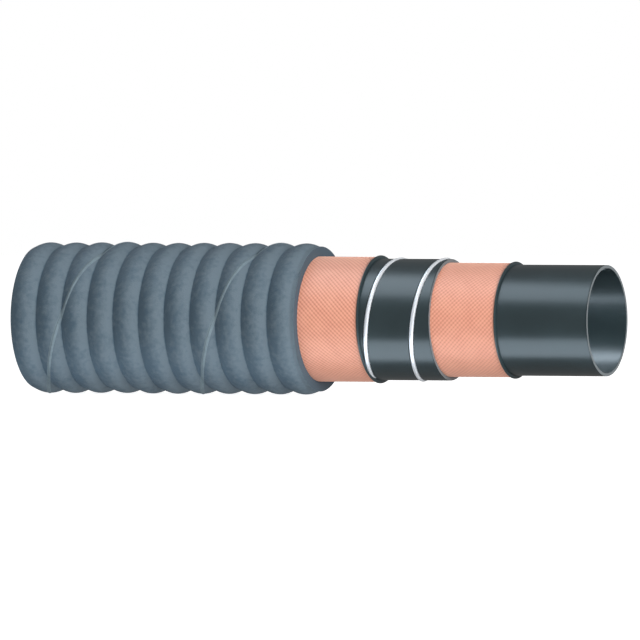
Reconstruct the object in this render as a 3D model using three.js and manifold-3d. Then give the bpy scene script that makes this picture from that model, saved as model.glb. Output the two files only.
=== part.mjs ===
// Cutaway sample of a ringed oil suction hose, in millimetres, +Z up.
// The hose lies along X. Its left end, at -X, is cut square through every layer. Towards +X the
// layers are stripped back in steps: the ringed rubber cover, the outer fabric ply, the rubber
// interlayer with a round steel wire wound into it as a helix, the inner fabric ply, and the
// smooth inner tube. The origin is under the middle of the sample, on the surface it lies on.
import * as THREE from "three";
import { mergeVertices } from "three/addons/utils/BufferGeometryUtils.js";
import Module from "manifold-3d";

const wasm = await Module();
wasm.setup();

// Inner tube
const boreDiameter = 50.8;
const tubeWall = 1.6;
const tubeShows = 48.4;

// Inner fabric ply, wound on the tube
const innerPlyThickness = 0.75;
const innerPlyShows = 33;

// Rubber interlayer, with the steel wire bedded in it
const interlayerShows = 37.9;
const wireDiameter = 2.2;
const wireLead = 24;
const wireStandsProud = 0.55;
const rubberUnderWire = 0.2;
const wireEndSetback = 2.35;

// Outer fabric ply, which the top of the wire presses into
const outerPlyShows = 30.7;
const fabricOverWire = 0.15;

// Rubber cover with separate rounded rings
const coverWall = 4.1;
const ringCount = 11;
const ringPitch = 13.56;
const ringHeight = 2.2;
const plainTailLength = 0.9;
const plainTailRise = 0.7;

// The low ridge of rubber against the cut edge of each fabric ply
const ridgeRise = 0.7;
const ridgeWidth = 1.2;

// Clearances between bonded layers, and round the wire
const layerGap = 0.05;
const wireGap = 0.1;

// Fineness of the facets
const sidesRound = 36;
const sidesOfWire = 6;
const stepsPerRing = 6;
const stepsPerRidge = 4;

// Radii, from the bore outwards
const wireRadius = wireDiameter / 2;
const boreRadius = boreDiameter / 2;
const tubeRadius = boreRadius + tubeWall;
const innerPlyInside = tubeRadius + layerGap;
const innerPlyRadius = innerPlyInside + innerPlyThickness;
const interlayerInside = innerPlyRadius + layerGap;
const wireCentreRadius = interlayerInside + rubberUnderWire + wireRadius;
const interlayerRadius = wireCentreRadius + wireRadius - wireStandsProud;
const outerPlyInside = interlayerRadius + layerGap;
const outerPlyRadius = wireCentreRadius + wireRadius + wireGap + fabricOverWire;
const coverInside = outerPlyRadius + layerGap;
const valleyRadius = coverInside + coverWall;
const crestRadius = valleyRadius + ringHeight;

// Places along the hose, measured from the square-cut end
const ringsEnd = ringCount * ringPitch;
const coverEnd = ringsEnd + plainTailLength;
const outerPlyEnd = coverEnd + outerPlyShows;
const interlayerEnd = outerPlyEnd + interlayerShows;
const innerPlyEnd = interlayerEnd + innerPlyShows;
const sampleLength = innerPlyEnd + tubeShows;

// One facet's turn round the axis, and the height of the axis when the sample lies on a facet
const facetTurn = (2 * Math.PI) / sidesRound;
const axisHeight = crestRadius * Math.cos(facetTurn / 2);

const coverRubber = new THREE.MeshStandardMaterial({ color: 0x5f7180, roughness: 0.75 });
const salmonFabric = new THREE.MeshStandardMaterial({ color: 0xe9a183, roughness: 0.8 });
const blackRubber = new THREE.MeshStandardMaterial({ color: 0x333d42, roughness: 0.35 });
const brightSteel = new THREE.MeshStandardMaterial({ color: 0xe4ebf0, roughness: 0.3, metalness: 0.9 });

// A closed geometry as a solid, once the vertices that share a place are one vertex.
function toSolid(geometry) {
  geometry.deleteAttribute("normal");
  geometry.deleteAttribute("uv");
  const merged = mergeVertices(geometry, 1e-4);
  return new wasm.Manifold(
    new wasm.Mesh({
      numProp: 3,
      vertProperties: merged.attributes.position.array,
      triVerts: new Uint32Array(merged.index.array),
    }),
  );
}

// A solid as a mesh with one of the materials above.
function toMesh(name, solid, material) {
  const { numProp, numVert, vertProperties, triVerts } = solid.getMesh();
  const places = new Float32Array(numVert * 3);
  for (let i = 0; i < numVert; i++) {
    places.set(vertProperties.subarray(i * numProp, i * numProp + 3), i * 3);
  }
  const geometry = new THREE.BufferGeometry();
  geometry.setAttribute("position", new THREE.BufferAttribute(places, 3));
  geometry.setIndex(new THREE.BufferAttribute(triVerts, 1));
  const mesh = new THREE.Mesh(geometry.toNonIndexed(), material);
  mesh.geometry.computeVertexNormals();
  mesh.name = name;
  return mesh;
}

// A hollow layer turned about the hose's axis, which is the lathe's own Y axis. Its outside is
// a list of points [place along the hose, radius], and its inside is a plain bore.
function layer(insideRadius, outside) {
  const innerStart = [outside[0][0], insideRadius];
  const innerEnd = [outside[outside.length - 1][0], insideRadius];
  const loop = [innerStart, ...outside, innerEnd, innerStart];
  const profile = loop.map(([place, radius]) => new THREE.Vector2(radius, place));
  return toSolid(new THREE.LatheGeometry(profile, sidesRound, facetTurn / 2, 2 * Math.PI));
}

// The outside of a layer of one radius.
function plainOutside(radius, end) {
  return [
    [0, radius],
    [end, radius],
  ];
}

// The same, with a ridge on it whose section is half an ellipse.
function ridgedOutside(radius, ridgeStart, ridgeRadius, end) {
  const points = [[0, radius]];
  for (let i = 0; i <= stepsPerRidge; i++) {
    const turn = (Math.PI * i) / stepsPerRidge;
    points.push([
      ridgeStart + (ridgeWidth / 2) * (1 - Math.cos(turn)),
      radius + (ridgeRadius - radius) * Math.sin(turn),
    ]);
  }
  points.push([end, radius]);
  return points;
}

// The cover's outside: each ring is the crown of a sine, so rings meet in sharp valleys. The
// last ring runs out into the plain tail.
function ringedOutside() {
  const points = [];
  for (let i = 0; i < ringCount * stepsPerRing; i++) {
    const rise = ringHeight * Math.abs(Math.sin((Math.PI * i) / stepsPerRing));
    points.push([(i * ringPitch) / stepsPerRing, valleyRadius + rise]);
  }
  points.push([ringsEnd, valleyRadius + plainTailRise]);
  points.push([coverEnd, valleyRadius + plainTailRise]);
  return points;
}

// The wire's path. From the top of the hose it runs down the front as it goes towards the
// square-cut end, one lead for each turn. Its corners lie on the layers' own corners.
const wireEnd = interlayerEnd - wireEndSetback;
const wireEndTurn = -facetTurn / 2;
const wireCorners = Math.ceil(((wireEnd + 2 * wireDiameter) / wireLead) * sidesRound);

class WirePath extends THREE.Curve {
  constructor() {
    super();
    this.arcLengthDivisions = wireCorners;
  }

  getPoint(share, target = new THREE.Vector3()) {
    const turned = share * wireCorners * facetTurn;
    return target.set(
      wireCentreRadius * Math.sin(wireEndTurn + turned),
      wireEnd - (wireLead * turned) / (2 * Math.PI),
      wireCentreRadius * Math.cos(wireEndTurn + turned),
    );
  }
}

// The wire, or with a larger radius the channel that it lies in. Both run past the square-cut end.
function wireSolid(radius) {
  const section = new THREE.Shape();
  for (let i = 0; i < sidesOfWire; i++) {
    const turn = (2 * Math.PI * i) / sidesOfWire;
    section[i ? "lineTo" : "moveTo"](radius * Math.cos(turn), radius * Math.sin(turn));
  }
  section.closePath();
  return toSolid(
    new THREE.ExtrudeGeometry(section, {
      steps: wireCorners,
      bevelEnabled: false,
      extrudePath: new WirePath(),
    }),
  );
}

const wireChannel = wireSolid(wireRadius + wireGap);
const lengthOfSample = toSolid(
  new THREE.CylinderGeometry(crestRadius, crestRadius, sampleLength, sidesRound).translate(
    0,
    sampleLength / 2,
    0,
  ),
);

const hose = new THREE.Group();
hose.add(
  toMesh(
    "inner_tube",
    layer(
      boreRadius,
      ridgedOutside(tubeRadius, innerPlyEnd + layerGap, innerPlyRadius + ridgeRise, sampleLength),
    ),
    blackRubber,
  ),
  toMesh(
    "inner_fabric_ply",
    layer(innerPlyInside, plainOutside(innerPlyRadius, innerPlyEnd)),
    salmonFabric,
  ),
  toMesh(
    "rubber_interlayer",
    layer(
      interlayerInside,
      ridgedOutside(
        interlayerRadius,
        outerPlyEnd + layerGap,
        outerPlyRadius + ridgeRise,
        interlayerEnd,
      ),
    ).subtract(wireChannel),
    blackRubber,
  ),
  toMesh("helix_wire", wireSolid(wireRadius).intersect(lengthOfSample), brightSteel),
  toMesh(
    "outer_fabric_ply",
    layer(outerPlyInside, plainOutside(outerPlyRadius, outerPlyEnd)).subtract(wireChannel),
    salmonFabric,
  ),
  toMesh("ringed_cover", layer(coverInside, ringedOutside()), coverRubber),
);

// The lathe's Y axis is laid along X, and the sample is set down with its middle at the origin.
hose.rotation.z = -Math.PI / 2;
hose.position.set(-sampleLength / 2, 0, axisHeight);

const sample = new THREE.Group();
sample.add(hose);

export default sample;
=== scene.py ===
"""The looks of a cutaway sample of a ringed oil suction hose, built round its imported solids.

The hose lies along X. A turn round it is counted from its top, over the side that faces -Y.
Each layer is one closed surface turned about the hose's axis, with its relief in the mesh: the
rings of the cover, the crossing cords of the fabric plies and the channel that the wire lies in.
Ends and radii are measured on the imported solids. Other sizes are properties in the panel.
"""

import math

import bpy
import numpy as np
from bpy.props import FloatProperty, FloatVectorProperty, IntProperty, PointerProperty
from bpy.types import Operator, Panel, PropertyGroup
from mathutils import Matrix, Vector


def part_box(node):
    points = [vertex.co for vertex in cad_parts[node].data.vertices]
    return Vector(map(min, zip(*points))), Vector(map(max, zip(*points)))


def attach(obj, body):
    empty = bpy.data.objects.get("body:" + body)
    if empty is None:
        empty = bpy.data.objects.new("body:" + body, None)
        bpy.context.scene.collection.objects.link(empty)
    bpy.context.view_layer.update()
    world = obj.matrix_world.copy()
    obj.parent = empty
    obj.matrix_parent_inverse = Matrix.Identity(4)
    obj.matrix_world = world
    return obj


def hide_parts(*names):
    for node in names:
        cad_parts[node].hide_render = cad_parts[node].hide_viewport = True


bl_info = {
    "name": "Oil Suction Hose Sample",
    "version": (1, 0, 0),
    "blender": (4, 5, 0),
    "location": "3D View > Sidebar > Hose",
    "description": "Builds the layers, finishes and studio of a cutaway suction hose sample",
    "category": "Object",
}

MM = 0.001
FULL_TURN = 2 * math.pi
FLOOR_RADIUS = 6

# Under the next layer, the weave fades out over the first length, and rows lie the second apart
WEAVE_FADE = 2 * MM
HIDDEN_STEP = 30 * MM

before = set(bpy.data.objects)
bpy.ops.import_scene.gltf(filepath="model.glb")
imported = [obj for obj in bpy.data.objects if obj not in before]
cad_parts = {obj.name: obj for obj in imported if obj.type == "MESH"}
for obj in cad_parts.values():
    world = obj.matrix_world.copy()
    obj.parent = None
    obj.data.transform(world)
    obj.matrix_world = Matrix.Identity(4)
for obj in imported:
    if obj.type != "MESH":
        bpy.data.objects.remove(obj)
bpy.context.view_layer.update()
tube_low, tube_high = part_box("inner_tube")
AXIS_HEIGHT = (tube_low.z + tube_high.z) / 2


class Layer:
    """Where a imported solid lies: its ends along X, and its least and greatest radius."""

    def __init__(self, node):
        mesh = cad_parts[node].data
        points = np.empty(3 * len(mesh.vertices))
        mesh.vertices.foreach_get("co", points)
        along, across, up = points.reshape(-1, 3).T
        radius = np.hypot(across, up - AXIS_HEIGHT)
        self.node = node
        self.start, self.end = along.min(), along.max()
        self.inside, self.outside = radius.min(), radius.max()


TUBE = Layer("inner_tube")
INNER_PLY = Layer("inner_fabric_ply")
INTERLAYER = Layer("rubber_interlayer")
WIRE = Layer("helix_wire")
OUTER_PLY = Layer("outer_fabric_ply")
COVER = Layer("ringed_cover")


def length(name, description, default):
    return FloatProperty(
        name=name, description=description, default=default, unit="LENGTH", precision=5
    )


def colour(name, description, default):
    return FloatVectorProperty(
        name=name, description=description, default=default, subtype="COLOR", min=0, max=1
    )


def strength(name, description, default):
    return FloatProperty(name=name, description=description, default=default, min=0)


class HoseSizes(PropertyGroup):
    """Sizes that can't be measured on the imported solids."""

    layer_gap: length("Layer gap", "Gap between two layers", 0.05 * MM)
    edge_round: length("Edge round", "How far each cut edge is rounded", 0.25 * MM)
    ring_count: IntProperty(name="Rings", description="Rings on the cover", default=11, min=1)
    ring_pitch: length("Ring pitch", "From one valley of the cover to the next", 13.56 * MM)
    ring_height: length("Ring height", "From a valley of the cover to a crest", 2.2 * MM)
    tail_rise: length("Tail rise", "How far the plain tail stands over a valley", 0.7 * MM)
    waviness: length("Waviness", "Size of the slow waves in the cover", 0.07 * MM)
    seam_lead: length("Seam lead", "Advance of the wrapping seam in one turn", 81.5 * MM)
    seam_place: length("Seam place", "Where it crosses the front, from the cut end", 26.6 * MM)
    seam_width: length("Seam width", "Width of the ridge that the wrapping left", 2 * MM)
    seam_height: length("Seam height", "Height of that ridge", 0.3 * MM)
    ridge_width: length("Ridge width", "Width of the rubber at a ply's cut edge", 1.2 * MM)
    cord_spacing: length("Cord spacing", "From a cord to the next, round the hose", 2.2 * MM)
    cord_relief: length("Cord relief", "From the tops of the cords to the gaps", 0.22 * MM)
    wire_lead: length("Wire lead", "Advance of the wire in one turn", 24 * MM)
    channel_gap: length("Channel gap", "Gap between the wire and its rubber", 0.1 * MM)
    wire_diameter: length("Wire diameter", "Diameter of the steel wire", 2.2 * MM)
    rubber_under_wire: length("Rubber under wire", "Rubber between ply and wire", 0.2 * MM)
    wire_setback: length("Wire setback", "From the wire's end to the rubber's", 2.35 * MM)
    wire_end: FloatProperty(
        name="Wire end",
        description="Where in the turn the wire ends",
        default=math.radians(-5),
        subtype="ANGLE",
    )


class HoseColours(PropertyGroup):
    """Base colours of the finishes."""

    cover: colour("Cover", "Blue-grey rubber", (0.074, 0.119, 0.160))
    # Pale end of the cover's mix: the rubber's random bloom, and also painted light on each ring's
    # flank that faces the key
    cover_bloom_and_painted_light: colour("Cover bloom", "Paler bloom on the cover", (0.146, 0.196, 0.235))
    seam: colour("Seam", "Pale ridge of the wrapping seam", (0.21, 0.28, 0.32))
    cord_top: colour("Cord tops", "Salmon fabric, tops of the cords", (1.0, 0.47, 0.32))
    cord_gap: colour("Cord gaps", "Salmon fabric, between the cords", (0.72, 0.25, 0.165))
    rubber: colour("Black rubber", "Tube and interlayer", (0.029, 0.047, 0.053))
    cut_rubber: colour("Cut rubber", "Cut faces of the black rubber", (0.17, 0.19, 0.20))
    cut_cover: colour("Cut cover", "Cut faces of the cover", (0.07, 0.105, 0.135))
    steel: colour("Steel", "Bright drawn wire", (0.90, 0.93, 0.97))


class StudioSettings(PropertyGroup):
    """The camera and the lights."""

    azimuth: FloatProperty(
        name="Azimuth",
        description="The camera's turn towards the bare end",
        default=math.radians(22.5),
        subtype="ANGLE",
    )
    elevation: FloatProperty(
        name="Elevation",
        description="The camera's height over the horizon",
        default=math.radians(0.82),
        subtype="ANGLE",
    )
    lens: strength("Lens", "Focal length in millimetres", 1200)
    view_width: length("View width", "Width of the picture at the hose", 311.9 * MM)
    look_right: length("Look right", "The picture's middle, right of the hose's", -0.58 * MM)
    look_up: length("Look up", "The picture's middle, above the hose's axis", -0.48 * MM)
    ambient: strength("Ambient", "Light from all round", 0.3)
    gloss_ambient: strength("Gloss ambient", "What gloss reflects from all round", 0.23)
    from_below: strength("From below", "Further light from below, as off a pale table", 0.45)
    key: strength("Key", "Large light off the bare end", 165)
    strips: strength("Strips", "Radiance of the long lights that only gloss reflects", 4)
    panel: strength("Side panel", "Radiance of the panel off the covered end", 2)
    bore_strips: strength("Bore strips", "Radiance of the strips in the bore", 9.5)


class Value:
    """A socket in a tree of shader nodes. Arithmetic on it adds Math nodes."""

    def __init__(self, shading, socket):
        self.shading = shading
        self.socket = socket

    def math(self, operation, *others):
        return self.shading.math(operation, self, *others)

    def other(self, output):
        """Another output of the same node."""
        return Value(self.shading, self.socket.node.outputs[output])

    def __add__(self, other):
        return self.math("ADD", other)

    __radd__ = __add__

    def __sub__(self, other):
        return self.math("SUBTRACT", other)

    def __rsub__(self, other):
        return self.shading.math("SUBTRACT", other, self)

    def __mul__(self, other):
        return self.math("MULTIPLY", other)

    __rmul__ = __mul__

    def clamped(self):
        return self.math("MINIMUM", 1).math("MAXIMUM", 0)


class Shading:
    """A tree of shader nodes, and the one node whose inputs make the look."""

    def __init__(self, owner, shader):
        owner.use_nodes = True
        self.tree = owner.node_tree
        self.shader = self.tree.nodes[shader]

    def node(self, kind, settings=None, values=(), output=0):
        """Adds a node, makes its settings, then fills its sockets, and returns an output."""
        made = self.tree.nodes.new(kind)
        for key, setting in (settings or {}).items():
            setattr(made, key, setting)
        for key, given in values.items() if isinstance(values, dict) else enumerate(values):
            self.fill(made.inputs[key], given)
        return Value(self, made.outputs[output])

    def fill(self, socket, given):
        if isinstance(given, Value):
            self.tree.links.new(given.socket, socket)
        else:
            socket.default_value = given

    def math(self, operation, *values):
        return self.node("ShaderNodeMath", {"operation": operation}, values)

    def direction(self):
        """In a world's tree, the direction that is looked in."""
        return self.node("ShaderNodeTexCoord", output="Generated")

    def set(self, **inputs):
        """Sets the shader's inputs, whose names are written with _ for a space."""
        for key, given in inputs.items():
            self.fill(self.shader.inputs[key.replace("_", " ")], given)


class Finish(Shading):
    """A material with one Principled shader."""

    def __init__(self, name):
        self.material = bpy.data.materials.new(name)
        super().__init__(self.material, "Principled BSDF")

    def mix(self, share, first, second):
        """A colour that goes from first to second as share goes from 0 to 1."""
        ends = {0: share, 6: (*first, 1), 7: (*second, 1)}
        return self.node("ShaderNodeMix", {"data_type": "RGBA"}, ends, output=2)

    def attribute(self, name):
        return self.node("ShaderNodeAttribute", {"attribute_name": name}, output="Fac")

    def wrap(self):
        """The piece's own UV map: the share of a turn round it, and the length along it."""
        uv = self.node("ShaderNodeUVMap", {"uv_map": "wrap"})
        turn = self.node("ShaderNodeSeparateXYZ", values=[uv])
        return turn, turn.other("Y")

    def noise(self, scale, detail=3.0, stretch=(1, 1, 1)):
        """Noise with about scale blobs to the metre, drawn out along each axis by stretch."""
        place = self.node("ShaderNodeTexCoord", output="Object")
        squeeze = [1 / factor for factor in stretch]
        mapped = self.node("ShaderNodeMapping", values={"Vector": place, "Scale": squeeze})
        sockets = {"Vector": mapped, "Scale": scale, "Detail": detail}
        return self.node("ShaderNodeTexNoise", values=sockets)

    def bump(self, height, distance):
        """Gives the surface a fine relief, for a height from about 0 to 1."""
        sockets = {"Height": height, "Distance": distance}
        self.set(Normal=self.node("ShaderNodeBump", values=sockets))


def cover_finish(name, ground, bloomed_and_lit):
    """Matt blue-grey rubber with a pale bloom and a painted highlight, and the fine print of its
    wrapping cloth.
    """
    finish = Finish(name)
    turn, path = finish.wrap()
    mottle = finish.noise(90, 4) * 0.5 + finish.noise(420, 3) * 0.5
    # Painted light: the lift paints each ring paler towards its flank that faces the key; the
    # mottle adds the rubber's own random bloom
    bloom_and_painted_light = ((mottle - 0.5) * 3 + finish.attribute("lift")).clamped()
    threads_round = 300
    thread_pitch = 0.75 * MM
    print_round = (turn * (FULL_TURN * threads_round)).math("SINE")
    print_along = (path * (FULL_TURN / thread_pitch)).math("SINE")
    cloth = print_round * print_along * 0.25 + finish.noise(1500, 2)
    finish.set(
        Base_Color=finish.mix(bloom_and_painted_light, ground, bloomed_and_lit),
        Roughness=0.60 + mottle * 0.2,
        Specular_IOR_Level=0.3,
    )
    finish.bump(cloth, 0.12 * MM)
    return finish.material


def fabric_finish(name, colours):
    """Rubberised salmon fabric: pale cord tops, deep gaps, and a slow change of colour."""
    finish = Finish(name)
    depth = finish.attribute("lift")
    worn = finish.noise(160, 3)
    fibre = finish.noise(3200, 2)
    top = ((depth - 0.3) * 1.6 + (worn - 0.5) * 0.6 + (fibre - 0.5) * 0.35).clamped()
    finish.set(
        Base_Color=finish.mix(top, colours.cord_gap, colours.cord_top),
        Roughness=0.38 + fibre * 0.2,
        Specular_IOR_Level=0.5,
        Sheen_Weight=0.9,
        Sheen_Roughness=0.5,
        Sheen_Tint=(1, 0.6, 0.48, 1),
    )
    finish.bump(fibre, 0.08 * MM)
    return finish.material


def black_rubber_finish(colours):
    """Smooth black rubber, whose gloss is drawn out into faint streaks along the hose."""
    finish = Finish("black_rubber")
    streak = finish.noise(900, 3, stretch=(40, 1, 1))
    cloud = finish.noise(45, 3)
    tint = ((cloud - 0.4) * 1.5).clamped()
    base = Vector(colours.rubber)
    finish.set(
        Base_Color=finish.mix(tint, tuple(base * 0.85), tuple(base * 1.2)),
        Roughness=0.24 + streak * 0.08 + cloud * 0.06,
        Specular_IOR_Level=0.55,
    )
    finish.bump(streak * 0.5 + finish.noise(1400, 2) * 0.5, 0.004 * MM)
    return finish.material


def cut_finish(name, colour_of_cut):
    """A knife-cut face: matt, with a fine grain."""
    finish = Finish(name)
    grain = finish.noise(2600, 3)
    base = Vector(colour_of_cut)
    finish.set(
        Base_Color=finish.mix(grain, tuple(base * 0.75), tuple(base * 1.2)),
        Roughness=0.72 + grain * 0.15,
    )
    finish.bump(grain, 0.05 * MM)
    return finish.material


def steel_finish(colours):
    """Bright drawn wire, with fine lines along it."""
    finish = Finish("steel_wire")
    round_wire, _ = finish.wrap()
    lines = finish.noise(2400, 2)
    lines_round = 240
    drawn = (round_wire * lines_round).math("SINE") * 0.5 + lines * 0.5
    finish.set(
        Base_Color=(*colours.steel, 1),
        Metallic=0.4,
        Roughness=0.32 + lines * 0.14,
    )
    finish.bump(drawn, 0.01 * MM)
    return finish.material


def ring_points(along, radius, turn):
    """Points at a radius from the axis: (along, -radius sin turn, axis + radius cos turn)."""
    along, radius, turn = np.broadcast_arrays(along, radius, turn)
    return np.stack(
        [along, -radius * np.sin(turn), AXIS_HEIGHT + radius * np.cos(turn)], axis=-1
    )


def grid_piece(name, points, path, finishes, finish_of_row=0, closed=True, sharp=50, lift=None):
    """A mesh object made from a grid of points, by rows and columns.

    Each row closes on itself. The last row meets the first in a closed grid, and in an open one
    both are capped. Each face joins (row, column), (row, column + 1), (row + 1, column + 1) and
    (row + 1, column). The UV map holds the share of a row and the length along the rows.
    """
    rows, columns = points.shape[:2]
    row, column = np.indices((rows if closed else rows - 1, columns))
    steps = ((0, 0), (0, 1), (1, 1), (1, 0))
    quads = np.stack(
        [(row + down) % rows * columns + (column + over) % columns for down, over in steps], -1
    )
    wrap = np.stack(
        [np.stack([(column + over) / columns, path[row + down]], -1) for down, over in steps], -2
    )
    faces = quads.reshape(-1, 4).tolist()
    wrap = wrap.reshape(-1, 2)
    caps = []
    if not closed:
        first = np.arange(columns)
        caps = [first[::-1].tolist(), (first + (rows - 1) * columns).tolist()]
        wrap = np.vstack([wrap, np.zeros((2 * columns, 2))])
    mesh = bpy.data.meshes.new(name)
    mesh.from_pydata(points.reshape(-1, 3), [], faces + caps)
    mesh.uv_layers.new(name="wrap").data.foreach_set("uv", wrap.ravel().astype(np.float32))
    if lift is not None:
        attribute = mesh.attributes.new("lift", "FLOAT", "POINT")
        attribute.data.foreach_set("value", lift.ravel().astype(np.float32))
    for finish in finishes:
        mesh.materials.append(finish)
    finish_index = np.zeros(len(faces) + len(caps), int)
    finish_index[: len(faces)] = np.repeat(finish_of_row + np.zeros(len(row), int), columns)
    mesh.polygons.foreach_set("material_index", finish_index)
    mesh.polygons.foreach_set("use_smooth", np.ones(len(finish_index), bool))
    mesh.set_sharp_from_angle(angle=math.radians(sharp))
    mesh.update()
    piece = bpy.data.objects.new(name, mesh)
    bpy.context.scene.collection.objects.link(piece)
    return piece


def settle(piece, slot, *nodes):
    """The piece rides with the hose and stands for its nodes. The slot is not used."""
    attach(piece, "root")
    if nodes:
        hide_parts(*nodes)


def rounded(before, corner, after, size, steps=5):
    """Points that round a corner, and one more on each side that keeps the flats flat.

    The curve is the parabola corner + size ((1 - t)^2 back + t^2 on), for t from 0 to 1, where
    back and on are the directions to the points before and after the corner.
    """
    before, corner, after = (np.array(point, float) for point in (before, corner, after))
    back = (before - corner) / np.linalg.norm(before - corner)
    on = (after - corner) / np.linalg.norm(after - corner)
    t = np.linspace(0, 1, steps)[:, None]
    curve = corner + size * ((1 - t) ** 2 * back + t**2 * on)
    return np.vstack([corner + 2 * size * back, curve, corner + 2 * size * on])


def outline(outside, inside, edge):
    """The closed section of a layer, and how many of its rows belong to each of its faces.

    outside holds rows of (along, radius) from the start to the end of the layer, whose first
    and last are its corners. The section then goes down the end, back along the bore, and up.
    """
    start, end = outside[0], outside[-1]
    bore_start, bore_end = (start[0], inside), (end[0], inside)
    parts = [
        rounded(bore_start, start, outside[1], edge),
        outside[1:-1],
        rounded(outside[-2], end, bore_end, edge),
        rounded(end, bore_end, bore_start, edge),
        rounded(bore_end, bore_start, start, edge),
    ]
    return np.vstack(parts), [len(part) for part in parts]


def turned_piece(name, outside, inside, edge, around, finishes, relief=None, sharp=50):
    """A layer of the hose: its section turned about the axis, with relief added to its outside.

    The first finish covers the layer, and the second its two cut ends. relief takes the places
    and turns of the outside's rows, and returns what it adds to the radius, and its lift.
    """
    section, counts = outline(np.array(outside), inside, edge)
    turn = FULL_TURN * np.arange(around) / around
    along = np.repeat(section[:, :1], around, 1)
    radius = np.repeat(section[:, 1:], around, 1)
    lift = np.ones_like(radius)
    if relief:
        shaped = slice(counts[0], counts[0] + counts[1])
        added, lift[shaped] = relief(along[shaped], turn)
        radius[shaped] += added
    steps = np.linalg.norm(np.roll(section, -1, axis=0) - section, axis=1)
    path = np.concatenate([[0], np.cumsum(steps)])
    corner = counts[0] // 2
    reached = np.cumsum(counts)
    cut = np.zeros(len(section), int)
    cut[:corner] = 1
    cut[reached[1] + corner : reached[2] + corner] = 1
    cut[reached[3] + corner :] = 1
    points = ring_points(along, radius, turn)
    return grid_piece(name, points, path, finishes, cut, sharp=sharp, lift=lift)


def rows_between(low, high, step):
    """Evenly spaced places from low to high, with the ends, no further apart than step."""
    return np.linspace(low, high, math.ceil((high - low) / step) + 1)


def smooth_step(value):
    """Goes from 0 to 1 as value does, level at both ends."""
    value = np.clip(value, 0, 1)
    return value * value * (3 - 2 * value)


def with_ridge(radius, start, end, shown_from, ridge, sizes):
    """The outside of a black rubber layer, with its ridge against the edge of the ply over it.

    The ridge starts a gap beyond that edge, and its radius is ridge at the crown. Its section
    is half an ellipse. Rows are close together only where the layer shows.
    """
    first = shown_from + sizes.layer_gap
    share = np.linspace(0, math.pi, 17)
    crown = np.stack(
        [
            first + sizes.ridge_width / 2 * (1 - np.cos(share)),
            radius + (ridge - radius) * np.sin(share),
        ],
        axis=1,
    )
    hidden = rows_between(start, first - 0.1 * MM, HIDDEN_STEP)
    shown = rows_between(first + sizes.ridge_width + 0.1 * MM, end, 0.25 * MM)
    plain = [np.stack([rows, np.full(len(rows), radius)], axis=1) for rows in (hidden, shown)]
    return np.vstack([plain[0], crown, plain[1]])


def weave(spacing, radius, shown_from, leaning, depth):
    """The relief of two sets of cords that cross at 45 degrees, sunk in a skin of rubber.

    One set runs forwards round the hose and the other backwards. Where |cos| of a set's phase
    is 1 a cord of it is at its middle, and where it is 0 there is a gap. The height is the sum
    of both sets, and leaning, from -1 to 1, gives one set more of it. The lift is that height.
    """
    cords = 2 * round(FULL_TURN * radius / spacing / 2)
    pitch = FULL_TURN * radius / cords

    def relief(along, turn):
        forwards = cords / 2 * turn + math.pi * along / pitch
        backwards = cords / 2 * turn - math.pi * along / pitch
        top = sum(
            np.abs(np.cos(phase)) ** 0.8 * (0.5 + favour)
            for phase, favour in ((forwards, 0.2 * leaning), (backwards, -0.2 * leaning))
        )
        shown = smooth_step((along - shown_from) / WEAVE_FADE + 1)
        return -depth * (1 - top) * shown, top

    return relief


def wire_path(sizes, steps_round):
    """The turns and places of the wire's middle, from its own end to just past the cut end.

    It runs down the front as it goes towards the cut end, one lead for each turn. It goes on
    until only a sliver of the wire's section is still inside the sample.
    """
    end = INTERLAYER.end - sizes.wire_setback
    slope = sizes.wire_lead / FULL_TURN
    overrun = 0.985 * sizes.wire_diameter / 2
    last = (end - INTERLAYER.start + overrun) / slope
    turned = np.linspace(0, last, math.ceil(last / FULL_TURN * steps_round) + 1)
    return sizes.wire_end + turned, end - slope * turned


def channel(sizes, radius):
    """The relief of the channel that the wire lies in, where the wire is.

    An offset from the wire's middle is the least distance along the hose to one of its turns,
    times the cosine of the helix's slope. The channel is round, and as wide as wire and gaps.
    It goes past the wire's end by past_wire, a share of a turn.
    """
    middle = INTERLAYER.inside + sizes.rubber_under_wire + sizes.wire_diameter / 2
    reach = sizes.wire_diameter / 2 + sizes.channel_gap
    slope = sizes.wire_lead / FULL_TURN
    cosine = math.cos(math.atan(slope / middle))
    end = INTERLAYER.end - sizes.wire_setback
    past_wire = 0.003

    def relief(along, turn):
        share = (turn - sizes.wire_end) / FULL_TURN
        turns_away = np.round((end - along) / sizes.wire_lead - share)
        passed = share + turns_away
        offset = np.abs(along - end + sizes.wire_lead * passed) * cosine
        floor = middle - np.sqrt(np.clip(reach**2 - offset**2, 0, None)) - radius
        dip = np.where((offset < reach) & (passed > -past_wire), np.minimum(floor, 0), 0)
        hidden = along < OUTER_PLY.end + sizes.layer_gap + sizes.ridge_width
        return np.where(hidden, 0, dip), np.ones_like(along)

    return relief


def cover_radius(along, sizes):
    """The cover's radius at each place: each ring is the crown of a sine, from valley to valley.

    The last ring runs out into the plain tail before it reaches a valley.
    """
    valley = COVER.outside - sizes.ring_height
    rings = (along - COVER.start) / sizes.ring_pitch
    ring = sizes.ring_height * np.abs(np.sin(math.pi * rings))
    ring = np.where(rings > sizes.ring_count, 0, ring)
    past_last_crest = rings > sizes.ring_count - 0.5
    return valley + np.where(past_last_crest, np.maximum(ring, sizes.tail_rise), ring)


def cover_outside(sizes):
    """The rows of the cover's outside: 24 to a ring, and the plain tail."""
    tail_start = COVER.start + sizes.ring_count * sizes.ring_pitch
    rings = rows_between(COVER.start, tail_start, sizes.ring_pitch / 24)[:-1]
    along = np.concatenate([rings, rows_between(tail_start + 0.05 * MM, COVER.end, 0.2 * MM)])
    return np.stack([along, cover_radius(along, sizes)], axis=1)


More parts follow.
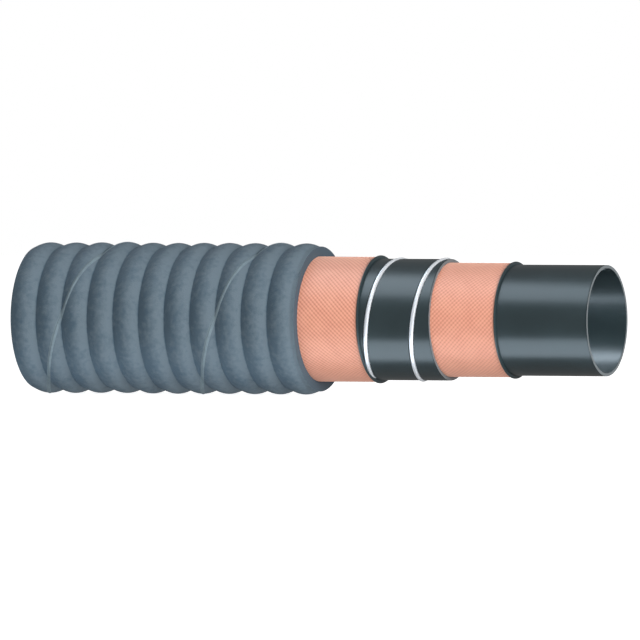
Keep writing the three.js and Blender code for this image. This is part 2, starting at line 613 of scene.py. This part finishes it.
def wavy_cover(sizes):
    """The relief of a hand-wrapped cover: slow waves round it that shift along it, no two alike.

    The lift is the share of painted light: it grows across each ring from one valley to the next.
    """
    draw = np.random.default_rng(7)
    wave_count = 7
    waves = [
        (
            draw.integers(1, 6),
            draw.uniform(20, 160),
            draw.uniform(0, FULL_TURN),
            draw.uniform(0.4, 1),
        )
        for _ in range(wave_count)
    ]

    def relief(along, turn):
        total = sum(
            size * np.sin(round_hose * turn + pull * along + phase)
            for round_hose, pull, phase, size in waves
        )
        from_an_end = np.minimum(along - COVER.start, COVER.end - along)
        fade = np.clip(from_an_end / (3 * MM), 0, 1)
        # Painted light: the share grows from 0 after a valley to 1 before the next, so each ring's
        # flank towards the bare end and the key is painted paler
        rings = (along - COVER.start) / sizes.ring_pitch
        passed = rings - np.minimum(np.floor(rings + 0.001), sizes.ring_count - 1) + 0 * total
        return sizes.waviness * total / 2 * fade, smooth_step((passed - 0.05) / 0.9)

    return relief


def build_tube(sizes, finishes):
    """The inner tube, bare from the inner ply's edge to its own end."""
    radius = INNER_PLY.inside - sizes.layer_gap
    outside = with_ridge(radius, TUBE.start, TUBE.end, INNER_PLY.end, TUBE.outside, sizes)
    return turned_piece(
        "inner_tube", outside, TUBE.inside, sizes.edge_round, around=384, finishes=finishes
    )


def build_interlayer(sizes, finishes):
    """The rubber interlayer, with the channel that the wire lies in."""
    radius = OUTER_PLY.inside - sizes.layer_gap
    outside = with_ridge(
        radius, INTERLAYER.start, INTERLAYER.end, OUTER_PLY.end, INTERLAYER.outside, sizes
    )
    return turned_piece(
        "rubber_interlayer",
        outside,
        INTERLAYER.inside,
        sizes.edge_round,
        around=320,
        finishes=finishes,
        relief=channel(sizes, radius),
    )


def build_ply(name, layer, shown_from, leaning, sizes, finishes):
    """A fabric ply, woven where it shows and plain where the next layer covers it."""
    relief = weave(sizes.cord_spacing, layer.outside, shown_from, leaning, sizes.cord_relief)
    points_to_cord = 6
    step = sizes.cord_spacing / points_to_cord
    woven = rows_between(shown_from - WEAVE_FADE, layer.end, step)
    along = np.concatenate([rows_between(layer.start, woven[0] - MM, HIDDEN_STEP), woven])
    outside = np.stack([along, np.full(len(along), layer.outside)], axis=1)
    around = points_to_cord * 2 * round(FULL_TURN * layer.outside / sizes.cord_spacing / 2)
    edge = 0.1 * MM
    return turned_piece(name, outside, layer.inside, edge, around, finishes, relief)


def build_wire(sizes, finishes):
    """The wire: a round section swept along its helix, and cut off square at the cut end."""
    turn, along = wire_path(sizes, 96)
    middle = INTERLAYER.inside + sizes.rubber_under_wire + sizes.wire_diameter / 2
    wire_radius = sizes.wire_diameter / 2
    slope = sizes.wire_lead / FULL_TURN
    sides = 20
    round_wire = (FULL_TURN * np.arange(sides) / sides)[None, :]
    size = math.hypot(slope, middle)
    rise = wire_radius * np.cos(round_wire) + 0 * turn[:, None]
    sideways = wire_radius * np.sin(round_wire)
    place = along[:, None] + sideways * middle / size
    stands_out = 0.03 * MM
    cut_place = INTERLAYER.start - stands_out
    past = np.clip((cut_place - along[:, None]) / (wire_radius * middle / size), 0, 1)
    limit = wire_radius * np.sqrt(1 - past**2)
    rise = np.where(place < cut_place, np.clip(rise, -limit, limit), rise)
    around = turn[:, None] + sideways * slope / size / middle
    points = ring_points(np.maximum(place, cut_place), middle + rise, around)
    path = (turn - turn[0]) * size
    return grid_piece("helix_wire", points, path, finishes, closed=False, sharp=40)


def build_cover(sizes, finishes):
    """The ringed cover. Its bore clears the outer ply."""
    return turned_piece(
        "ringed_cover",
        cover_outside(sizes),
        COVER.inside + 0.05 * MM,
        sizes.edge_round,
        around=288,
        finishes=finishes,
        relief=wavy_cover(sizes),
        sharp=40,
    )


def build_seam(sizes, finishes):
    """The low ridge that the wrapping left, which winds over the rings as one long strip.

    Across it the height is a squared cosine. Its underside is sunk in the cover, by sunk times
    the ridge's height. It stops short of the cover's ends, and thins out before it does.
    """
    slope = sizes.seam_lead / FULL_TURN
    crossing = COVER.start + sizes.seam_place
    front = math.pi / 2
    stop_short = 0.6 * MM
    low, high = COVER.start + stop_short, COVER.end - stop_short
    step = FULL_TURN / 420
    turned = rows_between((crossing - high) / slope, (crossing - low) / slope, step)
    turn = (front + turned)[:, None]
    across = np.linspace(-1, 1, 9)
    sunk = 1.6
    height = np.concatenate([np.cos(across * math.pi / 2) ** 2, [-sunk, -sunk]])
    across = np.concatenate([across, [1, -1]])[None, ::-1]
    place = crossing - slope * turned[:, None]
    along = np.clip(place + across * sizes.seam_width / 2, low, high)
    thinning = 2 * MM
    ends = np.clip(np.minimum(place - low, high - place) / thinning, 0.02, 1)
    height = height[None, ::-1] * sizes.seam_height * ends
    wave, _ = wavy_cover(sizes)(along, turn)
    radius = cover_radius(along, sizes) + wave + height
    points = ring_points(along, radius, turn)
    path = turned * COVER.outside
    paleness = 0.8
    lift = np.full(points.shape[:2], paleness)
    return grid_piece(
        "wrapping_seam", points, path - path[0], finishes, closed=False, sharp=60, lift=lift
    )


class HOSE_OT_cover(Operator):
    """Builds the ringed cover and the seam that winds over it"""

    bl_idname = "hose.cover"
    bl_label = "Ringed Cover"

    def execute(self, context):
        sizes, colours = context.scene.hose_sizes, context.scene.hose_colours
        rubber = cover_finish("cover_rubber", colours.cover, colours.cover_bloom_and_painted_light)
        cut = cut_finish("cut_cover", colours.cut_cover)
        pale = cover_finish("seam_rubber", colours.cover_bloom_and_painted_light, colours.seam)
        settle(build_cover(sizes, [rubber, cut]), "cover_rubber", COVER.node)
        settle(build_seam(sizes, [pale]), "cover_rubber")
        return {"FINISHED"}


class HOSE_OT_plies(Operator):
    """Builds the two fabric plies"""

    bl_idname = "hose.plies"
    bl_label = "Fabric Plies"

    def execute(self, context):
        sizes, colours = context.scene.hose_sizes, context.scene.hose_colours
        cut = cut_finish("cut_fabric", colours.cord_top)
        outer = fabric_finish("outer_fabric", colours)
        inner = fabric_finish("inner_fabric", colours)
        plies = (
            ("outer_fabric_ply", OUTER_PLY, COVER.end, -1, outer),
            ("inner_fabric_ply", INNER_PLY, INTERLAYER.end, 1, inner),
        )
        for name, layer, shown_from, leaning, finish in plies:
            piece = build_ply(name, layer, shown_from, leaning, sizes, [finish, cut])
            settle(piece, "ply_fabric", layer.node)
        return {"FINISHED"}


class HOSE_OT_rubber(Operator):
    """Builds the inner tube and the rubber interlayer"""

    bl_idname = "hose.rubber"
    bl_label = "Black Rubber"

    def execute(self, context):
        sizes, colours = context.scene.hose_sizes, context.scene.hose_colours
        finishes = [black_rubber_finish(colours), cut_finish("cut_rubber", colours.cut_rubber)]
        settle(build_tube(sizes, finishes), "black_rubber", TUBE.node)
        settle(build_interlayer(sizes, finishes), "black_rubber", INTERLAYER.node)
        return {"FINISHED"}


class HOSE_OT_wire(Operator):
    """Builds the steel wire"""

    bl_idname = "hose.wire"
    bl_label = "Helix Wire"

    def execute(self, context):
        finish = steel_finish(context.scene.hose_colours)
        piece = build_wire(context.scene.hose_sizes, [finish])
        settle(piece, "steel_wire", WIRE.node)
        return {"FINISHED"}


def aim(thing, target):
    """Turns a camera or a light, whose view is along its own -Z, to look at the target."""
    direction = target - thing.location
    thing.rotation_euler = direction.to_track_quat("-Z", "Y").to_euler()


def area_light(name, place, target, size, power, colour=(1, 1, 1)):
    """A rectangular light of a given width and height that looks at the target."""
    data = bpy.data.lights.new(name, "AREA")
    data.shape = "RECTANGLE"
    data.size, data.size_y = size
    data.energy = power
    data.color = colour
    light = bpy.data.objects.new(name, data)
    light.location = place
    bpy.context.scene.collection.objects.link(light)
    aim(light, target)
    light.visible_camera = False
    return light


def gloss_light(name, place, target, size, radiance):
    """A cool light that only gloss reflects. Places are from the middle of the hose's axis."""
    axis = Vector((0, 0, AXIS_HEIGHT))
    power = radiance * math.pi * size[0] * size[1]
    cool = (0.74, 0.88, 1)
    light = area_light(name, axis + Vector(place), axis + Vector(target), size, power, cool)
    light.visible_diffuse = False


class HOSE_OT_stage(Operator):
    """Sets up the pale floor, the lights and the camera"""

    bl_idname = "hose.stage"
    bl_label = "Studio"

    def execute(self, context):
        scene = context.scene
        studio = scene.hose_studio
        self.floor(COVER.outside)
        self.world(scene, studio)
        self.lights(studio)
        self.camera(scene, studio)
        scene.view_settings.view_transform = "Standard"
        return {"FINISHED"}

    def floor(self, rest):
        """A wide pale floor just under the rings. It lights nothing."""
        mesh = bpy.data.meshes.new("floor")
        sides = 96
        turn = FULL_TURN * np.arange(sides) / sides
        height = np.full(sides, AXIS_HEIGHT - rest - 0.4 * MM)
        rim = FLOOR_RADIUS * np.stack([np.cos(turn), np.sin(turn)], axis=1)
        mesh.from_pydata(np.column_stack([rim, height]), [], [list(range(sides))])
        finish = Finish("pale_floor")
        finish.set(
            Base_Color=(0.9, 0.9, 0.9, 1),
            Roughness=1.0,
            Specular_IOR_Level=0.0,
            Emission_Color=(1, 1, 1, 1),
            Emission_Strength=0.85,
        )
        mesh.materials.append(finish.material)
        floor = bpy.data.objects.new("floor", mesh)
        bpy.context.scene.collection.objects.link(floor)
        floor.visible_glossy = False
        floor.visible_diffuse = False

    def world(self, scene, studio):
        """White behind the hose, and dimmer in what lights it and in what its gloss reflects."""
        scene.world = bpy.data.worlds.new("studio")
        shading = Shading(scene.world, "Background")
        camera = shading.node("ShaderNodeLightPath", output="Is Camera Ray")
        gloss = camera.other("Is Glossy Ray")
        height = shading.node("ShaderNodeSeparateXYZ", values=[shading.direction()]).other("Z")
        around = studio.ambient + (0 - height).clamped() * studio.from_below
        dim = gloss * studio.gloss_ambient + (1 - gloss) * around
        shading.set(Color=(1, 1, 1, 1), Strength=camera + (1 - camera) * dim)

    def lights(self, studio):
        """A large key off the bare end, and lights for the gloss of the rubber and the wire.

        The camera sees a strip in the gloss along the hose, as high as the normal there that
        points half way between the camera and the strip. The last two strips are in the bore.
        """
        centre = Vector((0, 0, AXIS_HEIGHT))
        key = area_light("key", centre + Vector((2.5, -1.55, 0.15)), centre, (2.4, 2.4), studio.key)
        key.visible_glossy = False
        gloss_light("top_strip", (-0.25, -0.157, 0.53), (-0.02, 0, 0), (1.2, 0.32), studio.strips)
        gloss_light("low_strip", (0, -0.039, -0.038), (0, -0.02, 0), (0.36, 0.032), studio.strips)
        gloss_light("side_panel", (-0.95, -0.2, 0.05), (0, 0, 0), (0.5, 0.5), studio.panel)
        inside = TUBE.end - 0.07
        in_the_bore = (
            ("bore_low", -0.006, -0.022, 0.0062),
            ("bore_top", 0.0155, 0.018, 0.022),
        )
        for name, y, z, width in in_the_bore:
            size = (0.12, width)
            gloss_light(name, (inside, y, z), (inside, 0, 0), size, studio.bore_strips)

    def camera(self, scene, studio):
        """A long lens, square to a view turned a little from the side to the bare end."""
        data = bpy.data.cameras.new("camera")
        data.lens = studio.lens
        data.clip_end = 40
        camera = bpy.data.objects.new("camera", data)
        distance = studio.lens / data.sensor_width * studio.view_width
        turn, lift = studio.azimuth, studio.elevation
        towards = Vector(
            (math.sin(turn) * math.cos(lift), -math.cos(turn) * math.cos(lift), math.sin(lift))
        )
        right = Vector((math.cos(turn), math.sin(turn), 0))
        up = towards.cross(right)
        target = Vector((0, 0, AXIS_HEIGHT)) + right * studio.look_right + up * studio.look_up
        camera.location = target + towards * distance
        aim(camera, target)
        scene.collection.objects.link(camera)
        scene.camera = camera


class HOSE_PT_panel(Panel):
    """The hose's buttons and properties, in the 3D view's sidebar"""

    bl_idname = "HOSE_PT_panel"
    bl_label = "Suction Hose"
    bl_space_type = "VIEW_3D"
    bl_region_type = "UI"
    bl_category = "Hose"

    def draw(self, context):
        column = self.layout.column(align=True)
        for operator in OPERATORS:
            column.operator(operator.bl_idname)
        for group in (getattr(context.scene, name) for name in GROUPS):
            box = self.layout.box()
            for key in group.bl_rna.properties.keys():
                if key not in ("rna_type", "name"):
                    box.prop(group, key)


GROUPS = {
    "hose_sizes": HoseSizes,
    "hose_colours": HoseColours,
    "hose_studio": StudioSettings,
}
OPERATORS = (HOSE_OT_stage, HOSE_OT_rubber, HOSE_OT_plies, HOSE_OT_wire, HOSE_OT_cover)
CLASSES = (*GROUPS.values(), *OPERATORS, HOSE_PT_panel)


def register():
    for cls in CLASSES:
        bpy.utils.register_class(cls)
    for name, group in GROUPS.items():
        setattr(bpy.types.Scene, name, PointerProperty(type=group))


def unregister():
    for name in GROUPS:
        delattr(bpy.types.Scene, name)
    for cls in reversed(CLASSES):
        bpy.utils.unregister_class(cls)


def main():
    register()
    bpy.ops.hose.stage()
    bpy.ops.hose.rubber()
    bpy.ops.hose.plies()
    bpy.ops.hose.wire()
    bpy.ops.hose.cover()


if __name__ == "__main__":
    main()
